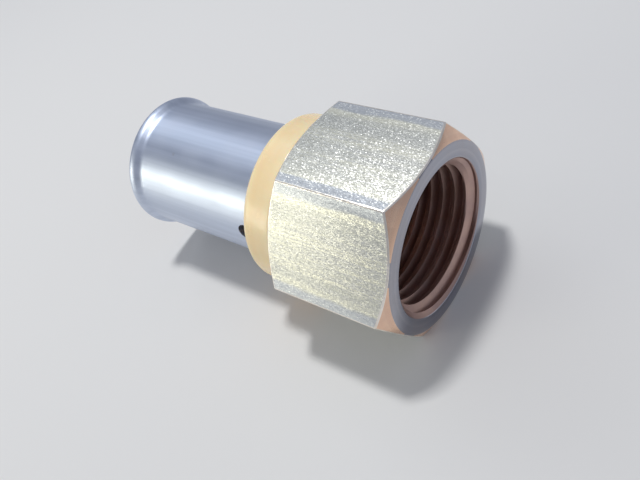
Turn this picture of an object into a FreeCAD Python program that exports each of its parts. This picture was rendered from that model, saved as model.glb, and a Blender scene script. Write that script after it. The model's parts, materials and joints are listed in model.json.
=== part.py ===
import FreeCAD, Part
import math
import os
import re
import sys

import Sketcher

# A straight press fitting that joins a 16 x 2 mm multilayer pipe to a G 1/2 male thread.
# The fitting's axis is X. The threaded mouth is centred on the origin and opens towards +X,
# and the pipe end lies along -X. Two of the six wrench flats face +Z and -Z.

DIMENSIONS = {
    # wrench hexagon
    "across_flats": 26.0,
    "hex_length": 18.2,
    "hex_edge_round": 0.3,
    "face_diameter": 25.4,
    "chamfer_angle": 30.0,
    # G 1/2 female thread: 14 turns to the inch, 55 degree flanks
    "mouth_diameter": 21.4,
    "thread_major": 20.955,
    "thread_minor": 18.631,
    "thread_pitch": 1.814,
    "thread_root_flat": 0.302,
    "thread_flank_angle": 27.5,
    "thread_depth": 12.0,
    "socket_depth": 14.6,
    # water way through the stem
    "waterway_diameter": 7.8,
    "waterway_lead": 0.8,
    # groove and collar that hold the plastic ring
    "groove_diameter": 14.8,
    "groove_width": 2.4,
    "collar_diameter": 16.4,
    "collar_width": 1.6,
    # barbed stem that goes inside the pipe
    "stem_root": 2.0,
    "stem_diameter": 11.8,
    "stem_end": 47.0,
    "stem_lead": 1.2,
    "stem_tip_diameter": 10.2,
    "barb_height": 0.35,
    "barb_pitch": 1.6,
    "barb_margin": 0.6,
    # seals on the stem
    "seal_groove_diameter": 9.5,
    "seal_groove_width": 2.2,
    "seal_cord": 1.5,
    "seal_gap": 0.02,
    "inner_seal": 31.0,
    "outer_seal": 38.5,
    # stainless press sleeve
    "sleeve_diameter": 19.2,
    "sleeve_wall": 1.0,
    "sleeve_end": 48.5,
    "flare_diameter": 20.6,
    "flare_length": 2.3,
    "flare_land": 1.2,
    "flare_bend_radius": 1.3,
    "rim_roll": 0.75,
    "rim_round": 0.2,
    "lip_diameter": 20.2,
    "lip_width": 0.8,
    "window_diameter": 2.4,
    "window_distance": 25.5,
    "window_turn": 80.0,
    # plastic retaining ring
    "ring_diameter": 24.2,
    "ring_width": 5.1,
    "ring_front_round": 1.3,
    "ring_back_round": 0.5,
    "ring_lip_width": 1.95,
    "seat_depth": 2.3,
    # play between the pieces that turn
    "running_gap": 0.06,
    "ring_play": 0.3,
    "collar_play": 0.3,
    # how far a cutting outline stands clear of what it cuts
    "cut_clear": 1.0,
    "thread_overlap": 0.05,
}

BARBS_IN_A_GROUP = 3
SOCKET_SECTORS = 3
WINDOWS = 3
SAME_PLACE = 0.01

document = FreeCAD.newDocument("press_fitting")
sheet = document.addObject("Spreadsheet::Sheet", "dimensions")
for row, (alias, number) in enumerate(DIMENSIONS.items(), start=1):
    sheet.set("A%d" % row, alias.replace("_", " "))
    sheet.set("B%d" % row, str(number))
    sheet.setAlias("B%d" % row, alias)
document.recompute()


def bound(text):
    """The expression with each sheet alias, a word with an underscore, in its full name."""
    return re.sub(r"[a-z]+(_[a-z]+)+", r"dimensions.\g<0>", text)


def value(text):
    """What the expression comes to, in millimetres."""
    return float(sheet.evalExpression(bound(text)))


def origin_feature(body, role):
    for feature in body.Origin.OriginFeatures:
        if feature.Role == role:
            return feature
    raise LookupError(role)


def new_body(label):
    body = document.addObject("PartDesign::Body", label)
    body.Label = label
    return body


def new_sketch(body, name, plane):
    sketch = body.newObject("Sketcher::SketchObject", name)
    sketch.AttachmentSupport = [(origin_feature(body, plane), "")]
    sketch.MapMode = "FlatFace"
    return sketch


def drive(sketch, name, expression, kind, *places):
    """Adds a named dimension of this kind to the sketch, bound to the sheet."""
    number = sketch.addConstraint(Sketcher.Constraint(kind, *places, value(expression)))
    sketch.renameConstraint(number, name)
    sketch.setExpression("Constraints." + name, bound(expression))


def closed_outline(body, name, corners):
    """A closed sketch of straight lines in the XZ plane.

    Each corner is a pair of expressions: its place along the axis and its radius.
    """
    sketch = new_sketch(body, name, "XZ_Plane")
    spots = [FreeCAD.Vector(value(along), value(out), 0) for along, out in corners]
    for start, end in zip(spots, spots[1:] + spots[:1]):
        sketch.addGeometry(Part.LineSegment(start, end), False)
    for line, (along, out) in enumerate(corners):
        following = (line + 1) % len(corners)
        sketch.addConstraint(Sketcher.Constraint("Coincident", line, 2, following, 1))
        drive(sketch, "along_%d" % line, along, "DistanceX", -1, 1, line, 1)
        drive(sketch, "out_%d" % line, out, "DistanceY", -1, 1, line, 1)
    return sketch


def turned(body, kind, name, sketch):
    """A Revolution or a Groove: the sketch taken a full turn about the fitting's axis."""
    feature = body.newObject("PartDesign::" + kind, name)
    feature.Profile = sketch
    feature.ReferenceAxis = (sketch, ["H_Axis"])
    feature.Angle = 360
    document.recompute()
    return feature


def rounded(body, name, base, edge_names, radius):
    """A fillet of the named edges; its radius is an expression."""
    fillet = body.newObject("PartDesign::Fillet", name)
    fillet.Base = (base, edge_names)
    fillet.setExpression("Radius", bound(radius))
    document.recompute()
    return fillet


def circles_at(feature, places):
    """Names of the feature's circular edges about the axis.

    Each place is a pair of expressions: the distance behind the mouth and the radius.
    """
    wanted = [(value(distance), value(radius)) for distance, radius in places]
    names = []
    for number, edge in enumerate(feature.Shape.Edges, start=1):
        if not isinstance(edge.Curve, Part.Circle):
            continue
        centre = edge.Curve.Center
        if math.hypot(centre.y, centre.z) > SAME_PLACE:
            continue
        for distance, radius in wanted:
            same_distance = abs(centre.x + distance) < SAME_PLACE
            if same_distance and abs(edge.Curve.Radius - radius) < SAME_PLACE:
                names.append("Edge%d" % number)
    return names


def round_axis(body, name, feature, count):
    """Repeats a feature evenly about the fitting's axis."""
    pattern = body.newObject("PartDesign::PolarPattern", name)
    pattern.Originals = [feature]
    pattern.Axis = (origin_feature(body, "X_Axis"), [""])
    pattern.Angle = 360
    pattern.Occurrences = count
    body.Tip = pattern
    document.recompute()
    return pattern


def hexagon_outline(body):
    """A regular hexagon in the YZ plane with two sides level, sized across its flats."""
    sketch = new_sketch(body, "hexagon_outline", "YZ_Plane")
    reach = value("across_flats / cos(30) / 2")
    spots = []
    for corner in range(6):
        turn = math.radians(60 * corner)
        spots.append(FreeCAD.Vector(reach * math.cos(turn), reach * math.sin(turn), 0))
    for start, end in zip(spots, spots[1:] + spots[:1]):
        sketch.addGeometry(Part.LineSegment(start, end), False)
    around = Part.Circle(FreeCAD.Vector(), FreeCAD.Vector(0, 0, 1), reach)
    circle = sketch.addGeometry(around, True)
    sketch.addConstraint(Sketcher.Constraint("Coincident", circle, 3, -1, 1))
    for line in range(6):
        following = (line + 1) % 6
        sketch.addConstraint(Sketcher.Constraint("Coincident", line, 2, following, 1))
        sketch.addConstraint(Sketcher.Constraint("PointOnObject", line, 1, circle))
    for line in range(1, 6):
        sketch.addConstraint(Sketcher.Constraint("Equal", 0, line))
    sketch.addConstraint(Sketcher.Constraint("Horizontal", 1))
    drive(sketch, "across_corners", "across_flats / cos(30)", "Diameter", circle)
    return sketch


def barbs(first):
    """Saw teeth along the stem from this distance. Each slopes down towards the pipe end, so
    the pipe slides on over it and can't slide back off its sharp side."""
    corners = []
    for tooth in range(BARBS_IN_A_GROUP):
        start = "-(%s + barb_pitch * %d)" % (first, tooth)
        end = "-(%s + barb_pitch * %d)" % (first, tooth + 1)
        corners.append((start, "stem_diameter / 2"))
        corners.append((end, "stem_diameter / 2 - barb_height"))
    corners.append((end, "stem_diameter / 2"))
    return corners


def seal_groove(middle):
    """The four corners of a seal's groove in the stem."""
    near = "-(%s - seal_groove_width / 2)" % middle
    far = "-(%s + seal_groove_width / 2)" % middle
    return [
        (near, "stem_diameter / 2"),
        (near, "seal_groove_diameter / 2"),
        (far, "seal_groove_diameter / 2"),
        (far, "stem_diameter / 2"),
    ]


def make_hexagon(body):
    """The bar stock, with its six long corners softened."""
    hexagon = body.newObject("PartDesign::Pad", "hexagon")
    hexagon.Profile = hexagon_outline(body)
    hexagon.setExpression("Length", bound("hex_length"))
    hexagon.Reversed = True
    document.recompute()
    long_edges = []
    for number, edge in enumerate(hexagon.Shape.Edges, start=1):
        if edge.BoundBox.XLength > value("hex_length") / 2:
            long_edges.append("Edge%d" % number)
    rounded(body, "softened_corners", hexagon, long_edges, "hex_edge_round")


def make_end_chamfers(body):
    """Both ends of the hexagon are turned to a cone, which gives its flats curved ends."""
    clear = "across_flats"
    drop = "(%s - face_diameter / 2) * tan(chamfer_angle)" % clear
    for name, face, outwards in (("mouth", "0", "+"), ("back", "-hex_length", "-")):
        inwards = "-" if outwards == "+" else "+"
        outline = closed_outline(body, name + "_chamfer_outline", [
            (face, "face_diameter / 2"),
            ("%s %s cut_clear" % (face, outwards), "face_diameter / 2"),
            ("%s %s cut_clear" % (face, outwards), clear),
            ("%s %s %s" % (face, inwards, drop), clear),
        ])
        turned(body, "Groove", name + "_chamfer", outline)


def make_stem(body):
    """Everything behind the hexagon: ring groove, collar and the barbed stem."""
    groove_end = "-(hex_length + groove_width)"
    stem_start = "-(hex_length + groove_width + collar_width)"
    outline = [
        ("-hex_length + stem_root", "0"),
        ("-hex_length + stem_root", "groove_diameter / 2"),
        (groove_end, "groove_diameter / 2"),
        (groove_end, "collar_diameter / 2"),
        (stem_start, "collar_diameter / 2"),
        (stem_start, "stem_diameter / 2"),
    ]
    group = "barb_pitch * %d" % BARBS_IN_A_GROUP
    outline += barbs("(inner_seal - seal_groove_width / 2 - barb_margin - %s)" % group)
    outline += seal_groove("inner_seal")
    outline += barbs("((inner_seal + outer_seal - %s) / 2)" % group)
    outline += seal_groove("outer_seal")
    outline += barbs("(outer_seal + seal_groove_width / 2 + barb_margin)")
    outline += [
        ("-(stem_end - stem_lead)", "stem_diameter / 2"),
        ("-stem_end", "stem_tip_diameter / 2"),
        ("-stem_end", "0"),
    ]
    turned(body, "Revolution", "stem", closed_outline(body, "stem_outline", outline))


def make_bore(body):
    """The water way, and the socket at the thread's minor size with a 45 degree mouth.

    The socket is cut in equal sectors. Its wall stays one face to a sector, so the crest that
    the thread leaves is many short faces and each lies close to its own middle.
    """
    waterway = closed_outline(body, "waterway_outline", [
        ("-hex_length + stem_root", "0"),
        ("-socket_depth + cut_clear", "0"),
        ("-socket_depth + cut_clear", "waterway_diameter / 2 + waterway_lead"),
        ("-socket_depth", "waterway_diameter / 2 + waterway_lead"),
        ("-socket_depth - waterway_lead", "waterway_diameter / 2"),
        ("-stem_end - cut_clear", "waterway_diameter / 2"),
        ("-stem_end - cut_clear", "0"),
    ])
    turned(body, "Groove", "waterway", waterway)
    countersink = "(mouth_diameter - thread_minor) / 2"
    sector = turned(body, "Groove", "socket_sector", closed_outline(body, "socket_outline", [
        ("cut_clear", "0"),
        ("cut_clear", "mouth_diameter / 2 + cut_clear"),
        ("-" + countersink, "thread_minor / 2"),
        ("-socket_depth", "thread_minor / 2"),
        ("-socket_depth", "0"),
    ]))
    sector.Angle = 360 / SOCKET_SECTORS
    document.recompute()
    round_axis(body, "socket", sector, SOCKET_SECTORS).Refine = False
    document.recompute()


def make_thread(body):
    """One right-handed groove that winds in from outside the mouth."""
    flank = "(thread_major - thread_minor) / 2 * tan(thread_flank_angle)"
    outline = closed_outline(body, "thread_outline", [
        ("thread_pitch - thread_root_flat / 2 - " + flank, "thread_minor / 2 - thread_overlap"),
        ("thread_pitch - thread_root_flat / 2", "thread_major / 2"),
        ("thread_pitch + thread_root_flat / 2", "thread_major / 2"),
        ("thread_pitch + thread_root_flat / 2 + " + flank, "thread_minor / 2 - thread_overlap"),
    ])
    thread = body.newObject("PartDesign::SubtractiveHelix", "thread")
    thread.Profile = outline
    thread.ReferenceAxis = (outline, ["H_Axis"])
    thread.Mode = "pitch-height-angle"
    thread.setExpression("Pitch", bound("thread_pitch"))
    thread.setExpression("Height", bound("thread_depth + thread_pitch"))
    thread.Reversed = True
    thread.Refine = False
    document.recompute()


def make_fitting_body():
    """The brass body, in one piece from the threaded mouth to the stem's tip."""
    body = new_body("fitting_body")
    make_hexagon(body)
    make_end_chamfers(body)
    make_stem(body)
    make_bore(body)
    plain = body.Shape.Volume
    make_thread(body)
    print("thread groove %.1f mm3" % (plain - body.Shape.Volume))
    return body


def make_o_ring(label, place):
    """One round-section seal, centred on its groove."""
    body = new_body(label)
    out = "seal_groove_diameter / 2 + seal_gap + seal_cord / 2"
    sketch = new_sketch(body, label + "_section", "XZ_Plane")
    centre = FreeCAD.Vector(-value(place), value(out), 0)
    section = Part.Circle(centre, FreeCAD.Vector(0, 0, 1), value("seal_cord / 2"))
    circle = sketch.addGeometry(section, False)
    drive(sketch, "place", "-" + place, "DistanceX", -1, 1, circle, 3)
    drive(sketch, "mean_radius", out, "DistanceY", -1, 1, circle, 3)
    drive(sketch, "cord", "seal_cord", "Diameter", circle)
    turned(body, "Revolution", label + "_turn", sketch)
    return body


def make_press_sleeve():
    """The stainless sleeve: a thin tube whose free end is flared and rolled over, a turned lip
    that the ring holds, and round windows that show whether the pipe is fully in."""
    body = new_body("press_sleeve")
    start = "(hex_length + ring_play + seat_depth + running_gap)"
    flare = "(sleeve_end - flare_length)"
    land = "(sleeve_end - flare_land)"
    outer = "sleeve_diameter / 2"
    inner = "sleeve_diameter / 2 - sleeve_wall"
    rim_outer = "flare_diameter / 2"
    rim_inner = "flare_diameter / 2 - sleeve_wall"
    tube = turned(body, "Revolution", "tube", closed_outline(body, "tube_outline", [
        ("-" + start, inner),
        ("-" + start, "lip_diameter / 2"),
        ("-(%s + lip_width)" % start, "lip_diameter / 2"),
        ("-(%s + lip_width)" % start, outer),
        ("-" + flare, outer),
        ("-" + land, rim_outer),
        ("-sleeve_end", rim_outer),
        ("-sleeve_end", rim_inner),
        ("-" + land, rim_inner),
        ("-" + flare, inner),
    ]))
    outer_edge = circles_at(tube, [("sleeve_end", rim_outer)])
    roll = rounded(body, "rolled_rim", tube, outer_edge, "rim_roll")
    inner_edge = circles_at(roll, [("sleeve_end", rim_inner)])
    rim = rounded(body, "inner_rim", roll, inner_edge, "rim_round")
    bends = circles_at(rim, [(flare, outer), (flare, inner), (land, rim_outer),
                             (land, rim_inner)])
    rounded(body, "flare_bends", rim, bends, "flare_bend_radius")

    sketch = new_sketch(body, "window_outline", "XY_Plane")
    centre = FreeCAD.Vector(-value("window_distance"), 0, 0)
    edge = Part.Circle(centre, FreeCAD.Vector(0, 0, 1), value("window_diameter / 2"))
    circle = sketch.addGeometry(edge, False)
    sketch.addConstraint(Sketcher.Constraint("PointOnObject", circle, 3, -1))
    drive(sketch, "distance", "-window_distance", "DistanceX", -1, 1, circle, 3)
    drive(sketch, "size", "window_diameter", "Diameter", circle)
    window = body.newObject("PartDesign::Pocket", "window")
    window.Profile = sketch
    window.Type = "ThroughAll"
    window.Reversed = True
    document.recompute()
    round_axis(body, "windows", window, WINDOWS)

    body.Placement = FreeCAD.Placement(
        FreeCAD.Vector(), FreeCAD.Rotation(FreeCAD.Vector(1, 0, 0), value("window_turn"))
    )
    body.setExpression("Placement.Rotation.Angle", bound("window_turn"))
    document.recompute()
    return body


def make_retaining_ring():
    """The plastic ring: its inner lip turns in the body's groove, and its seat holds the
    lip of the sleeve."""
    body = new_body("retaining_ring")
    back = "(hex_length + ring_play)"
    lip_end = "(%s + ring_lip_width)" % back
    seat = "(%s + seat_depth)" % back
    seat_end = "(%s + lip_width + 2 * running_gap)" % seat
    front = "(%s + ring_width)" % back
    lip_radius = "groove_diameter / 2 + running_gap"
    collar_radius = "collar_diameter / 2 + collar_play"
    seat_radius = "lip_diameter / 2 + running_gap"
    mouth_radius = "sleeve_diameter / 2 + running_gap"
    ring = turned(body, "Revolution", "ring", closed_outline(body, "ring_outline", [
        ("-" + back, lip_radius),
        ("-" + back, "ring_diameter / 2"),
        ("-" + front, "ring_diameter / 2"),
        ("-" + front, mouth_radius),
        ("-" + seat_end, mouth_radius),
        ("-" + seat_end, seat_radius),
        ("-" + seat, seat_radius),
        ("-" + seat, collar_radius),
        ("-" + lip_end, collar_radius),
        ("-" + lip_end, lip_radius),
    ]))
    front_edge = circles_at(ring, [(front, "ring_diameter / 2")])
    crown = rounded(body, "front_edge", ring, front_edge, "ring_front_round")
    back_edge = circles_at(crown, [(back, "ring_diameter / 2")])
    rounded(body, "back_edge", crown, back_edge, "ring_back_round")
    return body


pieces = [
    make_fitting_body(),
    make_o_ring("inner_o_ring", "inner_seal"),
    make_o_ring("outer_o_ring", "outer_seal"),
    make_press_sleeve(),
    make_retaining_ring(),
]
document.recompute()

for item in document.Objects:
    if "Invalid" in item.State or "Error" in item.State:
        sys.exit("failed feature: %s %s" % (item.Label, item.State))
for piece in pieces:
    shape = piece.Shape
    if shape.isNull() or not shape.isValid() or len(shape.Solids) != 1:
        sys.exit("bad shape: " + piece.Label)

os.makedirs("parts", exist_ok=True)
for piece in pieces:
    piece.Shape.exportStep("parts/%s.step" % piece.Label)
    box = piece.Shape.optimalBoundingBox(False, False)
    print("%-15s %8.1f mm3" % (piece.Label, piece.Shape.Volume), end="")
    print("  %6.2f x %5.2f x %5.2f mm" % (box.XLength, box.YLength, box.ZLength))
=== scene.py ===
import json
import math

import bmesh
import bpy
from mathutils import Matrix, Quaternion, Vector


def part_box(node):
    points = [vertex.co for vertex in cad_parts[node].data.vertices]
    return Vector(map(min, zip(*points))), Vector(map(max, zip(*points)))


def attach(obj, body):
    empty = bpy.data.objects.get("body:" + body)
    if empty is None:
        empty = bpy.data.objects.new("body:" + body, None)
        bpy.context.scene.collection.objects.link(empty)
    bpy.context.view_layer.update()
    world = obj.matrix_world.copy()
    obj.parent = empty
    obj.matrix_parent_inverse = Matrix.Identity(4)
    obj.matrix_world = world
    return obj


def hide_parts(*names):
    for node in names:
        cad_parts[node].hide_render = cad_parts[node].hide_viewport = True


# A straight press fitting. Outlines are lists of corners in millimetres: the distance behind
# the threaded mouth, the radius and, where the corner is rounded, how far the rounding
# reaches along both of its sides. The fitting's axis is X and the mouth opens towards +X.

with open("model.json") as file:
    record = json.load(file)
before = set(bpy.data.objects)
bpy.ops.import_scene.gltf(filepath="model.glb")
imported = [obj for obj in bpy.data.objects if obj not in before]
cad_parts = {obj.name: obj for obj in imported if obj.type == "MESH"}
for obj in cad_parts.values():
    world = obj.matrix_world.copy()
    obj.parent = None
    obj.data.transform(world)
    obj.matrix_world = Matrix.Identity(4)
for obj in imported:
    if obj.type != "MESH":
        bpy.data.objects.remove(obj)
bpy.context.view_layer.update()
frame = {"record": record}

MM = 0.001
FULL_TURN = 2 * math.pi
TURN_STEPS = 180
HALF_STEP = FULL_TURN / TURN_STEPS / 2
SAME_PLACE = 0.002 * MM
CRISP_ANGLE = math.radians(12)
SMALL_ROUND_STEPS = 4
LARGE_ROUND_STEPS = 12
LARGE_ROUND = 0.35


def half_width(node):
    """The node's largest reach from the axis along Z, in millimetres."""
    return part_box(node)[1].z / MM


def ends(node):
    """The distances behind the mouth at which the node begins and ends, in millimetres."""
    low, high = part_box(node)
    return -high.x / MM, -low.x / MM


FLAT_RADIUS = half_width("fitting_body")
STEM_END = ends("fitting_body")[1]
SLEEVE_START, SLEEVE_END = ends("press_sleeve")
RING_BACK, RING_FRONT = ends("retaining_ring")
RING_RADIUS = half_width("retaining_ring")
MOUNTS = {mount["name"]: mount for mount in frame["record"]["mounts"]}
HEX_LENGTH = -2 * MOUNTS["wrench_flat"]["pos_m"][0] / MM
BORE_RADIUS = MOUNTS["waterway"]["dims"]["r_mm"]
THREAD_MINOR = MOUNTS["threaded_socket"]["dims"]["r_mm"]

FACE_RADIUS = 12.7
BLANK_RADIUS = 15.6
CHAMFER_ANGLE = math.radians(30)
FLAT_EDGE = 0.18
FLAT_EDGE_STEPS = 3

MOUTH_RADIUS = 10.7
MOUTH_BREAK = 0.1
THREAD_MAJOR = 10.4775
THREAD_PITCH = 1.814
THREAD_ROOT_FLAT = 0.302
FLANK_ANGLE = math.radians(27.5)
THREAD_DEPTH = 12.0
THREAD_FADE = 0.8
SOCKET_DEPTH = 14.6
BORE_LEAD = 0.8

GROOVE_RADIUS = 7.4
COLLAR_START = HEX_LENGTH + 2.4
COLLAR_END = COLLAR_START + 1.6
COLLAR_RADIUS = 8.2
STEM_RADIUS = 5.9
STEM_TIP_RADIUS = 5.1
STEM_LEAD = 1.2
BARBS_IN_A_GROUP = 3
BARB_PITCH = 1.6
BARB_HEIGHT = 0.35
SEAL_GROOVE_RADIUS = 4.75
SEAL_GROOVE_WIDTH = 2.2
BARB_MARGIN = 0.6
CORD_SIDES = 28

SLEEVE_RADIUS = 9.6
SLEEVE_WALL = 1.0
LIP_RADIUS = 10.1
LIP_WIDTH = 0.8
FLARE_LENGTH = 2.3
FLARE_LAND = 1.2
FLARE_RADIUS = 10.3
FLARE_BEND = 0.38
RIM_ROLL = 0.75
RIM_ROUND = 0.2
WINDOW_RADIUS = 1.2
WINDOW_DISTANCE = 25.5
WINDOW_TURNS = (80, 200, 320)
WINDOW_SIDES = 64
PUNCH_LENGTH = 4

RING_SEAT = 2.3
RING_LIP_WIDTH = 1.95
COLLAR_PLAY = 0.3
PLAY = 0.06

CAMERA_LENS = 38.5
CAMERA_SPOT = (33.76, -45.27, 67.53)
CAMERA_AIM = (-15.52, -5.81, 0)
CAMERA_ROLL = -23.66


# ---------------------------------------------------------------- shapes

def wire(bm, corners, closed):
    """The outline as a chain of edges in the XZ plane, with its roundings."""
    verts = [bm.verts.new((-corner[0] * MM, 0, corner[1] * MM)) for corner in corners]
    for start, end in zip(verts, verts[1:]):
        bm.edges.new((start, end))
    if closed:
        bm.edges.new((verts[-1], verts[0]))
    for vert, corner in zip(verts, corners):
        if len(corner) == 3:
            steps = LARGE_ROUND_STEPS if corner[2] >= LARGE_ROUND else SMALL_ROUND_STEPS
            bmesh.ops.bevel(bm, geom=[vert], offset=corner[2] * MM, offset_type="OFFSET",
                            segments=steps, profile=0.5, affect="VERTICES", material=-1,
                            clamp_overlap=False)


def turn_half_step(bm):
    """Turns a start line by half a step, so that no line of the mesh meets a hexagon corner."""
    bmesh.ops.rotate(bm, verts=bm.verts[:], cent=(0, 0, 0),
                     matrix=Matrix.Rotation(HALF_STEP, 3, "X"))


def turn_on_lathe(bm, corners, closed=True):
    """Spins the outline a full turn about the fitting's axis."""
    wire(bm, corners, closed)
    turn_half_step(bm)
    bmesh.ops.spin(bm, geom=bm.verts[:] + bm.edges[:], cent=(0, 0, 0), axis=(1, 0, 0),
                   angle=FULL_TURN, steps=TURN_STEPS, use_merge=True)


def outwards(bm):
    """Joins the seams and turns every face outwards."""
    bmesh.ops.remove_doubles(bm, verts=bm.verts[:], dist=SAME_PLACE)
    bmesh.ops.recalc_face_normals(bm, faces=bm.faces[:])
    if bm.calc_volume(signed=True) < 0:
        bmesh.ops.reverse_faces(bm, faces=bm.faces[:])


def make_piece(name, bm, body, finishes):
    """Turns the mesh into a piece that stands for the CAD node of that name."""
    for face in bm.faces:
        face.smooth = True
    for edge in bm.edges:
        edge.smooth = edge.is_manifold and edge.calc_face_angle() < CRISP_ANGLE
    mesh = bpy.data.meshes.new(name)
    bm.to_mesh(mesh)
    bm.free()
    for finish in finishes:
        mesh.materials.append(finish)
    piece = bpy.data.objects.new(name + "_piece", mesh)
    bpy.context.scene.collection.objects.link(piece)
    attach(piece, body)
    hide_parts(name)
    return piece


TURNED, FLATS, EDGES, THREAD, FACED = range(5)


def barbs(start):
    """A group of saw teeth that slope down towards the pipe end."""
    corners = []
    for tooth in range(BARBS_IN_A_GROUP):
        begin = start + BARB_PITCH * tooth
        corners.append((begin, STEM_RADIUS))
        corners.append((begin + BARB_PITCH, STEM_RADIUS - BARB_HEIGHT))
    corners.append((start + BARB_PITCH * BARBS_IN_A_GROUP, STEM_RADIUS))
    return corners


def seal_groove(middle):
    """A square groove in the stem, with its edges broken."""
    near = middle - SEAL_GROOVE_WIDTH / 2
    far = middle + SEAL_GROOVE_WIDTH / 2
    return [
        (near, STEM_RADIUS, 0.08),
        (near, SEAL_GROOVE_RADIUS, 0.12),
        (far, SEAL_GROOVE_RADIUS, 0.12),
        (far, STEM_RADIUS, 0.08),
    ]


def body_outline():
    """From the foot of the thread, through the water way, round the stem to the mouth."""
    inner_seal = sum(ends("inner_o_ring")) / 2
    outer_seal = sum(ends("outer_o_ring")) / 2
    group = BARB_PITCH * BARBS_IN_A_GROUP
    room = SEAL_GROOVE_WIDTH / 2 + BARB_MARGIN
    stem = [(COLLAR_END, STEM_RADIUS)]
    stem += barbs(inner_seal - room - group)
    stem += seal_groove(inner_seal)
    stem += barbs((inner_seal + outer_seal - group) / 2)
    stem += seal_groove(outer_seal)
    stem += barbs(outer_seal + room)
    stem += [
        (STEM_END - STEM_LEAD, STEM_RADIUS, 0.15),
        (STEM_END, STEM_TIP_RADIUS, 0.15),
        (STEM_END, BORE_RADIUS, 0.1),
    ]
    cone = (BLANK_RADIUS - FACE_RADIUS) * math.tan(CHAMFER_ANGLE)
    return [
        (SOCKET_DEPTH, THREAD_MINOR),
        (SOCKET_DEPTH, BORE_RADIUS + BORE_LEAD),
        (SOCKET_DEPTH + BORE_LEAD, BORE_RADIUS),
    ] + stem[::-1] + [
        (COLLAR_END, COLLAR_RADIUS, 0.12),
        (COLLAR_START, COLLAR_RADIUS, 0.12),
        (COLLAR_START, GROOVE_RADIUS, 0.15),
        (HEX_LENGTH, GROOVE_RADIUS, 0.15),
        (HEX_LENGTH, FACE_RADIUS, 0.12),
        (HEX_LENGTH - cone, BLANK_RADIUS),
        (cone, BLANK_RADIUS),
        (0, FACE_RADIUS, 0.12),
        (0, MOUTH_RADIUS, MOUTH_BREAK),
        (MOUTH_BREAK, MOUTH_RADIUS - MOUTH_BREAK),
    ]


def mill_flats(bm):
    """Cuts the six flats and breaks the edges around them."""
    for side in range(6):
        turn = FULL_TURN / 6 * side
        across = Vector((0, math.sin(turn), math.cos(turn)))
        cut = bmesh.ops.bisect_plane(bm, geom=bm.verts[:] + bm.edges[:] + bm.faces[:],
                                     plane_co=across * FLAT_RADIUS * MM, plane_no=across,
                                     clear_outer=True, dist=SAME_PLACE / 4)
        rim = [e for e in cut["geom_cut"] if isinstance(e, bmesh.types.BMEdge)]
        for flat in bmesh.ops.holes_fill(bm, edges=rim, sides=0)["faces"]:
            flat.material_index = FLATS
    bmesh.ops.recalc_face_normals(bm, faces=bm.faces[:])
    around = [edge for edge in bm.edges
              if any(face.material_index == FLATS for face in edge.link_faces)]
    broken = bmesh.ops.bevel(bm, geom=around, offset=FLAT_EDGE * MM,
                             offset_type="OFFSET", segments=FLAT_EDGE_STEPS, profile=0.5,
                             affect="EDGES", material=-1, clamp_overlap=True)
    for face in broken["faces"]:
        face.material_index = EDGES


def thread_radius(behind, turn):
    """The wall's radius in millimetres at this distance and this angle from +Z: the thread,
    or the countersink where that is wider."""
    phase = (-behind / THREAD_PITCH - turn / FULL_TURN + 0.5) % 1 - 0.5
    from_root = max(0, abs(phase) * THREAD_PITCH - THREAD_ROOT_FLAT / 2)
    height = THREAD_MAJOR - THREAD_MINOR - from_root / math.tan(FLANK_ANGLE)
    run_out = min(1, max(0, (THREAD_DEPTH + THREAD_FADE - behind) / THREAD_FADE))
    thread = THREAD_MINOR + max(0, height) * run_out
    countersink = MOUTH_RADIUS - behind
    return max(thread, countersink)


def wind_thread():
    """The tapped wall as a mesh: one pitch of a straight line wound a full turn, repeated from
    the socket's floor to its mouth, and then pushed out to the thread's form."""
    crest = THREAD_PITCH / 2
    root = THREAD_ROOT_FLAT / 2
    shoulder = root + (THREAD_MAJOR - THREAD_MINOR) * math.tan(FLANK_ANGLE)
    middle = (root + shoulder) / 2
    rows = [-crest, -shoulder, -middle, -root, root, middle, shoulder, crest]
    bm = bmesh.new()
    shift = THREAD_PITCH * HALF_STEP / FULL_TURN
    line = [bm.verts.new(((row + shift) * MM, 0, THREAD_MINOR * MM)) for row in rows]
    links = [bm.edges.new(pair) for pair in zip(line, line[1:])]
    turn_half_step(bm)
    bmesh.ops.spin(bm, geom=line + links, cent=(0, 0, 0), axis=(1, 0, 0),
                   dvec=(THREAD_PITCH * MM / TURN_STEPS, 0, 0), angle=FULL_TURN,
                   steps=TURN_STEPS, use_merge=False)
    first_turn = bm.verts[:] + bm.edges[:] + bm.faces[:]
    turns = math.ceil(SOCKET_DEPTH / THREAD_PITCH) + 2
    for number in range(1, turns):
        copied = bmesh.ops.duplicate(bm, geom=first_turn)["geom"]
        moved = [item for item in copied if isinstance(item, bmesh.types.BMVert)]
        bmesh.ops.translate(bm, verts=moved, vec=(-THREAD_PITCH * MM * number, 0, 0))
    for vert in bm.verts:
        vert.co.x = min(-MOUTH_BREAK * MM, max(-SOCKET_DEPTH * MM, vert.co.x))
        turn = math.atan2(-vert.co.y, vert.co.z)
        size = thread_radius(-vert.co.x / MM, turn) * MM
        vert.co.y = -math.sin(turn) * size
        vert.co.z = math.cos(turn) * size
    bmesh.ops.remove_doubles(bm, verts=bm.verts[:], dist=SAME_PLACE)
    bmesh.ops.dissolve_degenerate(bm, edges=bm.edges[:], dist=SAME_PLACE)
    for face in bm.faces:
        face.material_index = THREAD
    wall = bpy.data.meshes.new("thread_wall")
    bm.to_mesh(wall)
    bm.free()
    return wall


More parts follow.
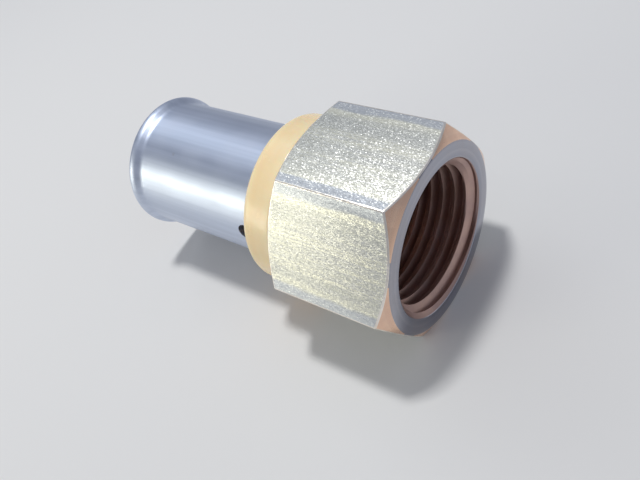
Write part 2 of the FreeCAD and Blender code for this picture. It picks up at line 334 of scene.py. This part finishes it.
def make_body(finishes):
    """The finishes are in the order of TURNED, FLATS, EDGES, THREAD and FACED."""
    bm = bmesh.new()
    turn_on_lathe(bm, body_outline(), closed=False)
    bmesh.ops.remove_doubles(bm, verts=bm.verts[:], dist=SAME_PLACE)
    mill_flats(bm)
    for face in bm.faces:
        if face.calc_center_median().x > -MOUTH_BREAK * MM and face.material_index == TURNED:
            face.material_index = FACED
    wall = wind_thread()
    bm.from_mesh(wall)
    bpy.data.meshes.remove(wall)
    outwards(bm)
    make_piece("fitting_body", bm, "body", finishes)


def make_o_ring(name, finish):
    """A seal of round section, around the stem."""
    low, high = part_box(name)
    cord = (high.x - low.x) / 2
    middle = Vector(((high.x + low.x) / 2, 0, high.z - cord))
    bm = bmesh.new()
    bmesh.ops.create_circle(bm, segments=CORD_SIDES, radius=cord)
    bmesh.ops.rotate(bm, verts=bm.verts[:], cent=(0, 0, 0),
                     matrix=Quaternion((1, 0, 0), math.pi / 2).to_matrix())
    bmesh.ops.translate(bm, verts=bm.verts[:], vec=middle)
    bmesh.ops.spin(bm, geom=bm.verts[:] + bm.edges[:], cent=(0, 0, 0), axis=(1, 0, 0),
                   angle=FULL_TURN, steps=TURN_STEPS, use_merge=True)
    outwards(bm)
    make_piece(name, bm, "body", [finish])


def sleeve_outline():
    """A lip for the ring at one end, and at the other a flare with a rolled rim."""
    inner = SLEEVE_RADIUS - SLEEVE_WALL
    bend = SLEEVE_END - FLARE_LENGTH
    land = SLEEVE_END - FLARE_LAND
    lip_end = SLEEVE_START + LIP_WIDTH
    return [
        (SLEEVE_START, inner, 0.1),
        (SLEEVE_START, LIP_RADIUS, 0.15),
        (lip_end, LIP_RADIUS, 0.15),
        (lip_end, SLEEVE_RADIUS, 0.1),
        (bend, SLEEVE_RADIUS, FLARE_BEND),
        (land, FLARE_RADIUS, FLARE_BEND),
        (SLEEVE_END, FLARE_RADIUS, RIM_ROLL),
        (SLEEVE_END, FLARE_RADIUS - SLEEVE_WALL, RIM_ROUND),
        (land, FLARE_RADIUS - SLEEVE_WALL, FLARE_BEND),
        (bend, inner, FLARE_BEND),
    ]


def punch_windows(piece):
    """Cuts the round windows through the sleeve's wall."""
    punches = bmesh.new()
    for turn in WINDOW_TURNS:
        out = Vector((0, -math.sin(math.radians(turn)), math.cos(math.radians(turn))))
        along = out.to_track_quat("Z", "X").to_matrix().to_4x4()
        along.translation = out * SLEEVE_RADIUS * MM - Vector((WINDOW_DISTANCE * MM, 0, 0))
        bmesh.ops.create_cone(punches, cap_ends=True, segments=WINDOW_SIDES,
                              radius1=WINDOW_RADIUS * MM, radius2=WINDOW_RADIUS * MM,
                              depth=PUNCH_LENGTH * MM, matrix=along)
    mesh = bpy.data.meshes.new("punches")
    punches.to_mesh(mesh)
    punches.free()
    tool = bpy.data.objects.new("punches", mesh)
    bpy.context.scene.collection.objects.link(tool)
    cut = piece.modifiers.new("windows", "BOOLEAN")
    cut.operation = "DIFFERENCE"
    cut.solver = "EXACT"
    cut.object = tool
    shown = piece.evaluated_get(bpy.context.evaluated_depsgraph_get())
    done = bpy.data.meshes.new_from_object(shown)
    piece.modifiers.clear()
    piece.data = done
    bpy.data.objects.remove(tool)


def make_sleeve(finish):
    bm = bmesh.new()
    turn_on_lathe(bm, sleeve_outline())
    outwards(bm)
    piece = make_piece("press_sleeve", bm, "sleeve", [finish])
    punch_windows(piece)


def make_ring(finish):
    """The ring reaches over the body's collar and over the sleeve's lip, and holds both."""
    seat = RING_BACK + RING_SEAT
    seat_end = seat + LIP_WIDTH + 2 * PLAY
    lip_end = RING_BACK + RING_LIP_WIDTH
    bm = bmesh.new()
    turn_on_lathe(bm, [
        (RING_BACK, GROOVE_RADIUS + PLAY, 0.15),
        (RING_BACK, RING_RADIUS, 0.5),
        (RING_FRONT, RING_RADIUS, 1.3),
        (RING_FRONT, SLEEVE_RADIUS + PLAY, 0.15),
        (seat_end, SLEEVE_RADIUS + PLAY),
        (seat_end, LIP_RADIUS + PLAY),
        (seat, LIP_RADIUS + PLAY),
        (seat, COLLAR_RADIUS + COLLAR_PLAY, 0.1),
        (lip_end, COLLAR_RADIUS + COLLAR_PLAY),
        (lip_end, GROOVE_RADIUS + PLAY, 0.15),
    ])
    outwards(bm)
    make_piece("retaining_ring", bm, "ring", [finish])


# ---------------------------------------------------------------- finishes

def add(tree, kind, inputs=None, **settings):
    """Adds a shader node. Each input is a value, or an output to link to it."""
    node = tree.nodes.new("ShaderNode" + kind)
    for name, setting in settings.items():
        setattr(node, name, setting)
    for name, value in (inputs or {}).items():
        if isinstance(value, bpy.types.NodeSocket):
            tree.links.new(value, node.inputs[name])
        else:
            node.inputs[name].default_value = value
    return node


def calculate(tree, operation, *values):
    return add(tree, "Math", dict(enumerate(values)), operation=operation).outputs[0]


def remap(tree, value, low, high, to_low=0.0, to_high=1.0):
    node = add(tree, "MapRange", {"Value": value, "From Min": low, "From Max": high,
                                  "To Min": to_low, "To Max": to_high})
    return node.outputs[0]


def blend(tree, factor, first, second, kind="MIX"):
    node = add(tree, "Mix", data_type="RGBA", blend_type=kind)
    for socket, value in ((node.inputs[0], factor), (node.inputs[6], first),
                          (node.inputs[7], second)):
        if isinstance(value, bpy.types.NodeSocket):
            tree.links.new(value, socket)
        else:
            socket.default_value = value
    return node.outputs[2]


def millimetres(tree, stretch=(1, 1, 1)):
    """The place on the piece in millimetres, divided by the stretch."""
    place = add(tree, "TexCoord").outputs["Object"]
    scale = tuple(1 / MM / s for s in stretch)
    return add(tree, "Mapping", {"Vector": place, "Scale": scale}).outputs[0]


def lathe_place(tree):
    """Distance along the axis and radius as a vector, in millimetres."""
    parts = add(tree, "SeparateXYZ", {0: millimetres(tree)})
    flat = add(tree, "CombineXYZ", {1: parts.outputs[1], 2: parts.outputs[2]})
    radius = add(tree, "VectorMath", {0: flat.outputs[0]}, operation="LENGTH")
    return add(tree, "CombineXYZ", {0: parts.outputs[0], 1: radius.outputs["Value"]}).outputs[0]


def new_group(name, inputs, outputs):
    """An empty shader group. Each input is a name and a value, each output a name and kind."""
    group = bpy.data.node_groups.new(name, "ShaderNodeTree")
    for label, value in inputs:
        socket = group.interface.new_socket(label, in_out="INPUT", socket_type="NodeSocketFloat")
        socket.default_value = value
    for label, kind in outputs:
        group.interface.new_socket(label, in_out="OUTPUT", socket_type="NodeSocket" + kind)
    return group, group.nodes.new("NodeGroupInput").outputs, group.nodes.new("NodeGroupOutput")


def use(tree, group, **values):
    """Places a group in a material. Each input is a value, or an output to link to it."""
    node = tree.nodes.new("ShaderNodeGroup")
    node.node_tree = group
    for label, value in values.items():
        socket = node.inputs[label.replace("_", " ").capitalize()]
        if isinstance(value, bpy.types.NodeSocket):
            tree.links.new(value, socket)
        else:
            socket.default_value = value
    return node.outputs


def divided(tree, vector, by):
    """The vector divided by a number or by an output."""
    return add(tree, "VectorMath", {0: vector, 3: calculate(tree, "DIVIDE", 1.0, by)},
               operation="SCALE").outputs[0]


def make_grit():
    """A blasted skin. Every grain leans its own way, a few of them far enough to glint; the Glint
    mask marks a few grains for a painted glint.
    """
    group, given, out = new_group(
        "grit", [("Grain", 0.16), ("Lean", 0.3), ("Stretch", 1.0)],
        [("Normal", "Vector"), ("Tone", "Float"), ("Glint", "Float")])
    place = add(group, "SeparateXYZ", {0: divided(group, millimetres(group), given["Grain"])})
    along = calculate(group, "DIVIDE", place.outputs[0], given["Stretch"])
    place = add(group, "CombineXYZ", {0: along, 1: place.outputs[1], 2: place.outputs[2]})
    cells = add(group, "TexVoronoi", {"Vector": place.outputs[0], "Scale": 1.0})
    clumps = add(group, "TexNoise", {"Vector": place.outputs[0], "Scale": 0.35, "Detail": 2.0})
    centred = []
    for colour in (cells.outputs["Color"], clumps.outputs["Color"]):
        centred.append(add(group, "VectorMath", {0: colour, 1: (0.5, 0.5, 0.5)},
                           operation="SUBTRACT").outputs[0])
    both = add(group, "VectorMath", {0: centred[1], 1: (0.35, 0.35, 0.35), 2: centred[0]},
               operation="MULTIPLY_ADD").outputs[0]
    leaned = add(group, "VectorMath", {0: both, 3: given["Lean"]}, operation="SCALE").outputs[0]
    normal = add(group, "NewGeometry").outputs["Normal"]
    total = add(group, "VectorMath", {0: normal, 1: leaned}, operation="ADD").outputs[0]
    unit = add(group, "VectorMath", {0: total}, operation="NORMALIZE").outputs[0]
    group.links.new(unit, out.inputs["Normal"])
    parts = add(group, "SeparateColor", {0: cells.outputs["Color"]})
    group.links.new(parts.outputs[1], out.inputs["Tone"])
    group.links.new(remap(group, parts.outputs[0], 0.9, 1.0), out.inputs["Glint"])
    return group


def make_turning():
    """The fine rings that a lathe tool leaves around the axis."""
    group, given, out = new_group("turning", [("Feed", 0.12)],
                                  [("Height", "Float"), ("Tone", "Float")])
    place = divided(group, lathe_place(group), given["Feed"])
    fine = add(group, "TexNoise", {"Vector": place, "Scale": 1.0, "Detail": 3.0,
                                   "Roughness": 0.6})
    broad = add(group, "TexNoise", {"Vector": place, "Scale": 0.12, "Detail": 2.0})
    group.links.new(fine.outputs["Fac"], out.inputs["Height"])
    group.links.new(remap(group, broad.outputs["Fac"], 0.3, 0.7), out.inputs["Tone"])
    return group


def make_drawing():
    """Long faint lines that run with the axis, from a drawing die or a milling cutter."""
    group, given, out = new_group("drawing", [("Width", 0.1), ("Length", 12.0)],
                                  [("Height", "Float"), ("Tone", "Float")])
    parts = add(group, "SeparateXYZ", {0: millimetres(group)})
    along = calculate(group, "DIVIDE", parts.outputs[0], given["Length"])
    side = calculate(group, "DIVIDE", parts.outputs[1], given["Width"])
    up = calculate(group, "DIVIDE", parts.outputs[2], given["Width"])
    place = add(group, "CombineXYZ", {0: along, 1: side, 2: up}).outputs[0]
    fine = add(group, "TexNoise", {"Vector": place, "Scale": 1.0, "Detail": 2.0})
    broad = add(group, "TexNoise", {"Vector": place, "Scale": 0.13, "Detail": 3.0})
    group.links.new(fine.outputs["Fac"], out.inputs["Height"])
    group.links.new(remap(group, broad.outputs["Fac"], 0.35, 0.65), out.inputs["Tone"])
    return group


def make_handling():
    """Soft patches where fingers and tools have dulled the surface, and small specks."""
    group, given, out = new_group("handling", [("Patch", 5.0), ("Speck", 0.3)],
                                  [("Dulling", "Float"), ("Specks", "Float")])
    place = millimetres(group)
    patches = add(group, "TexNoise", {"Vector": divided(group, place, given["Patch"]),
                                      "Scale": 1.0, "Detail": 4.0, "Roughness": 0.6})
    group.links.new(remap(group, patches.outputs["Fac"], 0.42, 0.68), out.inputs["Dulling"])
    dots = add(group, "TexVoronoi", {"Vector": divided(group, place, given["Speck"]),
                                     "Scale": 0.25})
    near = remap(group, dots.outputs["Distance"], 0.12, 0.2, 1.0, 0.0)
    few = add(group, "SeparateColor", {0: dots.outputs["Color"]}).outputs[0]
    rare = calculate(group, "MULTIPLY", near, remap(group, few, 0.8, 1.0))
    group.links.new(rare, out.inputs["Specks"])
    return group


def make_bar_edge():
    """The strips beside the long corners of a drawn bar, which the die leaves smoother, and next
    to each a brighter strip that is a painted band of glints. Both follow from the distance to
    the axis."""
    group, given, out = new_group("bar_edge", [("Start", 14.45)],
                                  [("Strip", "Float"), ("Bright", "Float")])
    radius = add(group, "SeparateXYZ", {0: lathe_place(group)}).outputs[1]
    wander = add(group, "TexNoise", {"Vector": millimetres(group, (9, 1.2, 1.2)),
                                     "Scale": 1.0, "Detail": 3.0}).outputs["Fac"]
    centred = calculate(group, "SUBTRACT", radius, 0.25)
    shifted = calculate(group, "MULTIPLY_ADD", wander, 0.5, centred)
    past = calculate(group, "SUBTRACT", shifted, given["Start"])
    group.links.new(remap(group, past, -0.06, 0.1), out.inputs["Strip"])
    near = remap(group, past, -0.55, -0.1)
    beside = calculate(group, "MULTIPLY", near, remap(group, past, -0.06, 0.06, 1.0, 0.0))
    group.links.new(beside, out.inputs["Bright"])
    return group


def new_finish(name, **sockets):
    """A material with a Principled shader whose even values are set on its own sockets."""
    finish = bpy.data.materials.new(name)
    finish.use_nodes = True
    tree = finish.node_tree
    shader = tree.nodes["Principled BSDF"]
    for label, value in sockets.items():
        shader.inputs[label.replace("_", " ").title().replace("Ior", "IOR")].default_value = value
    return finish, tree, shader


def feed(tree, shader, **sources):
    """Links each output to the shader's socket of that name."""
    for label, source in sources.items():
        tree.links.new(source, shader.inputs[label.replace("_", " ").title()])


def bump(tree, height, depth, normal=None):
    """A bump whose full height is this many millimetres."""
    inputs = {"Height": height, "Strength": 1.0, "Distance": depth * MM}
    if normal is not None:
        inputs["Normal"] = normal
    return add(tree, "Bump", inputs).outputs[0]


def blasted_plating(groups):
    finish, tree, shader = new_finish("blasted_plating", metallic=1.0)
    edge = use(tree, groups["bar_edge"], start=14.32)
    lean = remap(tree, edge["Strip"], 0.0, 1.0, 0.30, 0.20)
    grit = use(tree, groups["grit"], grain=0.075, lean=lean, stretch=2.2)
    lines = use(tree, groups["drawing"], width=0.22, length=16.0)
    worn = use(tree, groups["handling"], patch=6.0, speck=0.35)
    tint = blend(tree, lines["Tone"], (0.56, 0.57, 0.52, 1), (0.88, 0.86, 0.69, 1))
    fine = blend(tree, remap(tree, lines["Height"], 0.35, 0.6), (0.62, 0.62, 0.58, 1), tint)
    grains = blend(tree, remap(tree, grit["Tone"], 0.0, 0.6), (0.60, 0.60, 0.57, 1), fine)
    dulled = blend(tree, calculate(tree, "MULTIPLY", worn["Dulling"], 0.25), grains,
                   (0.64, 0.64, 0.60, 1))
    # Painted glints: the band beside each corner strip gets a lighter, yellower colour.
    bright = blend(tree, calculate(tree, "MULTIPLY", edge["Bright"], 0.5), dulled,
                   (0.92, 0.90, 0.74, 1))
    strip = blend(tree, calculate(tree, "MULTIPLY", edge["Strip"], 0.75), bright,
                  (0.50, 0.53, 0.58, 1))
    # Painted glints: the grains in the Glint mask get a near-white colour.
    colour = blend(tree, grit["Glint"], strip, (1.0, 1.0, 0.94, 1))
    rough = remap(tree, grit["Tone"], 0.0, 1.0, 0.34, 0.52)
    feed(tree, shader, base_color=colour, roughness=rough, normal=grit["Normal"])
    return finish


def turned_plating(groups):
    finish, tree, shader = new_finish("turned_plating", metallic=1.0)
    marks = use(tree, groups["turning"], feed=0.11)
    worn = use(tree, groups["handling"], patch=4.0, speck=0.25)
    tint = blend(tree, marks["Tone"], (0.88, 0.58, 0.42, 1), (1.0, 0.72, 0.53, 1))
    colour = blend(tree, calculate(tree, "MULTIPLY", worn["Dulling"], 0.35), tint,
                   (0.60, 0.43, 0.37, 1))
    rough = remap(tree, worn["Dulling"], 0.0, 1.0, 0.24, 0.36)
    feed(tree, shader, base_color=colour, roughness=rough,
         normal=bump(tree, marks["Height"], 0.004))
    return finish


def faced_end_painted_reflection(groups):
    finish, tree, shader = new_finish("faced_end_painted_reflection", metallic=1.0)
    marks = use(tree, groups["turning"], feed=0.08)
    worn = use(tree, groups["handling"], patch=5.0, speck=0.3)
    # Painted reflection: the face gets a darker, cooler colour than the turned chamfer beside it,
    # standing in for the dark surroundings it mirrors.
    tint = blend(tree, marks["Tone"], (0.32, 0.33, 0.39, 1), (0.43, 0.43, 0.48, 1))
    colour = blend(tree, calculate(tree, "MULTIPLY", worn["Dulling"], 0.4), tint,
                   (0.40, 0.36, 0.36, 1))
    rough = remap(tree, worn["Dulling"], 0.0, 1.0, 0.1, 0.2)
    feed(tree, shader, base_color=colour, roughness=rough,
         normal=bump(tree, marks["Height"], 0.0015))
    return finish


def rubbed_edges_painted_highlight(groups):
    finish, tree, shader = new_finish("rubbed_edges_painted_highlight", metallic=1.0)
    grit = use(tree, groups["grit"], grain=0.2, lean=0.12)
    worn = use(tree, groups["handling"], patch=2.5, speck=0.3)
    # Painted highlight: the broken edges get a lighter colour than the flats, standing in for the
    # bright line along the corners. The dulled patches between the two colours are wear.
    colour = blend(tree, worn["Dulling"], (0.98, 0.92, 0.84, 1), (0.80, 0.74, 0.64, 1))
    rough = remap(tree, grit["Tone"], 0.0, 1.0, 0.28, 0.4)
    feed(tree, shader, base_color=colour, roughness=rough, normal=grit["Normal"])
    return finish


def tapped_thread(groups):
    finish, tree, shader = new_finish("tapped_thread", metallic=1.0)
    marks = use(tree, groups["turning"], feed=0.3)
    worn = use(tree, groups["handling"], patch=3.0, speck=0.3)
    tint = blend(tree, marks["Tone"], (0.46, 0.31, 0.27, 1), (0.60, 0.42, 0.36, 1))
    colour = blend(tree, calculate(tree, "MULTIPLY", worn["Dulling"], 0.5), tint,
                   (0.48, 0.34, 0.33, 1))
    rough = remap(tree, worn["Dulling"], 0.0, 1.0, 0.38, 0.52)
    feed(tree, shader, base_color=colour, roughness=rough,
         normal=bump(tree, marks["Height"], 0.006))
    return finish


def satin_stainless(groups):
    finish, tree, shader = new_finish("satin_stainless", metallic=1.0)
    lines = use(tree, groups["drawing"], width=0.16, length=9.0)
    worn = use(tree, groups["handling"], patch=5.0, speck=0.4)
    tint = blend(tree, lines["Tone"], (0.50, 0.56, 0.68, 1), (0.61, 0.67, 0.80, 1))
    colour = blend(tree, calculate(tree, "MULTIPLY", worn["Dulling"], 0.3), tint,
                   (0.58, 0.62, 0.72, 1))
    speck = blend(tree, calculate(tree, "MULTIPLY", worn["Specks"], 0.25), colour,
                  (0.40, 0.40, 0.42, 1))
    rough = remap(tree, worn["Dulling"], 0.0, 1.0, 0.42, 0.48)
    feed(tree, shader, base_color=speck, roughness=rough,
         normal=bump(tree, lines["Height"], 0.002))
    return finish


def natural_nylon(groups):
    finish, tree, shader = new_finish(
        "natural_nylon", subsurface_weight=0.3, subsurface_scale=0.002,
        subsurface_radius=(1.0, 0.6, 0.3), ior=1.53)
    marks = use(tree, groups["turning"], feed=0.35)
    worn = use(tree, groups["handling"], patch=3.5, speck=0.25)
    tint = blend(tree, marks["Tone"], (1.0, 0.75, 0.42, 1), (1.0, 0.82, 0.52, 1))
    colour = blend(tree, calculate(tree, "MULTIPLY", worn["Dulling"], 0.4), tint,
                   (0.94, 0.68, 0.38, 1))
    rough = remap(tree, worn["Dulling"], 0.0, 1.0, 0.2, 0.3)
    feed(tree, shader, base_color=colour, roughness=rough,
         normal=bump(tree, marks["Height"], 0.006))
    return finish


def seal_rubber(groups):
    finish, tree, shader = new_finish("seal_rubber")
    worn = use(tree, groups["handling"], patch=1.5, speck=0.2)
    grit = use(tree, groups["grit"], grain=0.08, lean=0.12)
    colour = blend(tree, worn["Dulling"], (0.018, 0.018, 0.02, 1), (0.045, 0.045, 0.048, 1))
    rough = remap(tree, worn["Dulling"], 0.0, 1.0, 0.45, 0.62)
    feed(tree, shader, base_color=colour, roughness=rough, normal=grit["Normal"])
    return finish


# ---------------------------------------------------------------- studio

def make_floor():
    bm = bmesh.new()
    bmesh.ops.create_grid(bm, x_segments=1, y_segments=1, size=3)
    bmesh.ops.translate(bm, verts=bm.verts[:], vec=(0, 0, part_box("fitting_body")[0].z))
    mesh = bpy.data.meshes.new("floor")
    bm.to_mesh(mesh)
    bm.free()
    paper = new_finish("floor_paper", base_color=(0.80, 0.79, 0.77, 1), roughness=0.9)[0]
    mesh.materials.append(paper)
    floor = bpy.data.objects.new("floor", mesh)
    bpy.context.scene.collection.objects.link(floor)


def add_lamp(name, direction, distance, width, height, power, colour):
    """A soft box that faces the middle of the fitting."""
    middle = Vector((-20 * MM, 0, 0))
    lamp = bpy.data.lights.new(name, "AREA")
    lamp.shape = "RECTANGLE"
    lamp.size = width
    lamp.size_y = height
    lamp.energy = power
    lamp.color = colour
    box = bpy.data.objects.new(name, lamp)
    box.location = middle + Vector(direction).normalized() * distance
    box.rotation_mode = "QUATERNION"
    box.rotation_quaternion = (middle - box.location).to_track_quat("-Z", "Y")
    bpy.context.scene.collection.objects.link(box)


def light_studio():
    """A soft box low in front, one behind, and a small lamp nearly overhead for the shadow."""
    add_lamp("window_light", (-0.64, -0.75, 0.17), 0.30, 0.15, 0.10, 0.20, (1.0, 0.97, 0.80))
    add_lamp("back_light", (-0.70, 0.22, 0.68), 0.40, 0.20, 0.12, 0.08, (0.88, 0.95, 1.0))
    add_lamp("top_light", (-0.16, 0.10, 0.98), 0.40, 0.05, 0.05, 0.80, (0.98, 0.99, 1.0))
    world = bpy.data.worlds.new("studio")
    world.use_nodes = True
    world.node_tree.nodes["Background"].inputs["Color"].default_value = (0.36, 0.38, 0.44, 1)
    world.node_tree.nodes["Background"].inputs["Strength"].default_value = 0.85
    bpy.context.scene.world = world


def set_tones():
    """Plain tones, so that the finishes keep their own colours."""
    bpy.context.scene.view_settings.view_transform = "Standard"


def set_camera():
    camera = bpy.data.cameras.new("camera")
    camera.lens = CAMERA_LENS
    camera.clip_start = 0.005
    view = bpy.data.objects.new("camera", camera)
    spot = Vector(CAMERA_SPOT) * MM
    aim = Vector(CAMERA_AIM) * MM
    look = (aim - spot).to_track_quat("-Z", "Y")
    tilt = Quaternion((0, 0, 1), math.radians(CAMERA_ROLL))
    view.location = spot
    view.rotation_mode = "QUATERNION"
    view.rotation_quaternion = look @ tilt
    bpy.context.scene.collection.objects.link(view)
    bpy.context.scene.camera = view


groups = {"grit": make_grit(), "turning": make_turning(), "drawing": make_drawing(),
          "handling": make_handling(), "bar_edge": make_bar_edge()}
rubber = seal_rubber(groups)
make_body([turned_plating(groups), blasted_plating(groups), rubbed_edges_painted_highlight(groups),
           tapped_thread(groups), faced_end_painted_reflection(groups)])
make_o_ring("inner_o_ring", rubber)
make_o_ring("outer_o_ring", rubber)
make_sleeve(satin_stainless(groups))
make_ring(natural_nylon(groups))
make_floor()
light_studio()
set_tones()
set_camera()
